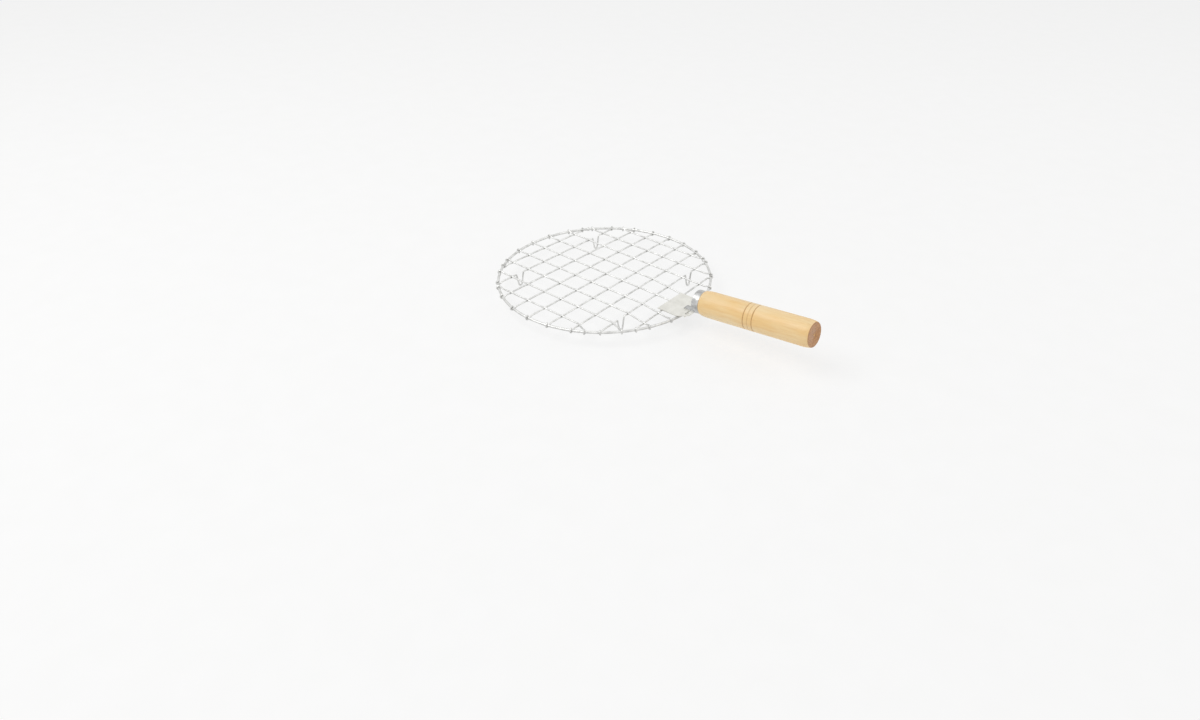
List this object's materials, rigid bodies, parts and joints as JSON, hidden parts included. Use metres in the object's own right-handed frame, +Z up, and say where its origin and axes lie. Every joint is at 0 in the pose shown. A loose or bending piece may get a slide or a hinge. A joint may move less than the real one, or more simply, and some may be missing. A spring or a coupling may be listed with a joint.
{
  "type": "roasting rack",
  "caption": "Round wire roasting rack: a square mesh on a wire hoop with bent wire feet, a sheet bracket, a cap ferrule and a turned wooden handle.",
  "frame": {"origin": "on the surface that the rack stands on, below the centre of the whole object's box", "axes": "+X along the rack from the hoop to the butt of the handle, +Y to the left of the handle, +Z up"},
  "size_m": [0.3302, 0.2054, 0.0517],
  "materials": {
    "wire_steel": "bright drawn wire",
    "sheet_steel": "plated sheet, soft sheen",
    "ferrule_steel": "pressed sheet, soft sheen",
    "nail_steel": "plain",
    "turned_wood": "pale turned wood, clear lacquer"
  },
  "bodies": {
    "root": {"hoop": "wire_steel", "long_wire_1": "wire_steel", "long_wire_2": "wire_steel", "long_wire_3": "wire_steel", "long_wire_4": "wire_steel", "long_wire_5": "wire_steel", "long_wire_6": "wire_steel", "long_wire_7": "wire_steel", "long_wire_8": "wire_steel", "long_wire_9": "wire_steel", "cross_wire_1": "wire_steel", "cross_wire_2": "wire_steel", "cross_wire_3": "wire_steel", "cross_wire_4": "wire_steel", "cross_wire_5": "wire_steel", "cross_wire_6": "wire_steel", "cross_wire_7": "wire_steel", "cross_wire_8": "wire_steel", "cross_wire_9": "wire_steel", "bracket": "sheet_steel", "ferrule": "ferrule_steel", "nail": "nail_steel", "handle": "turned_wood"}
  },
  "joints": []
}
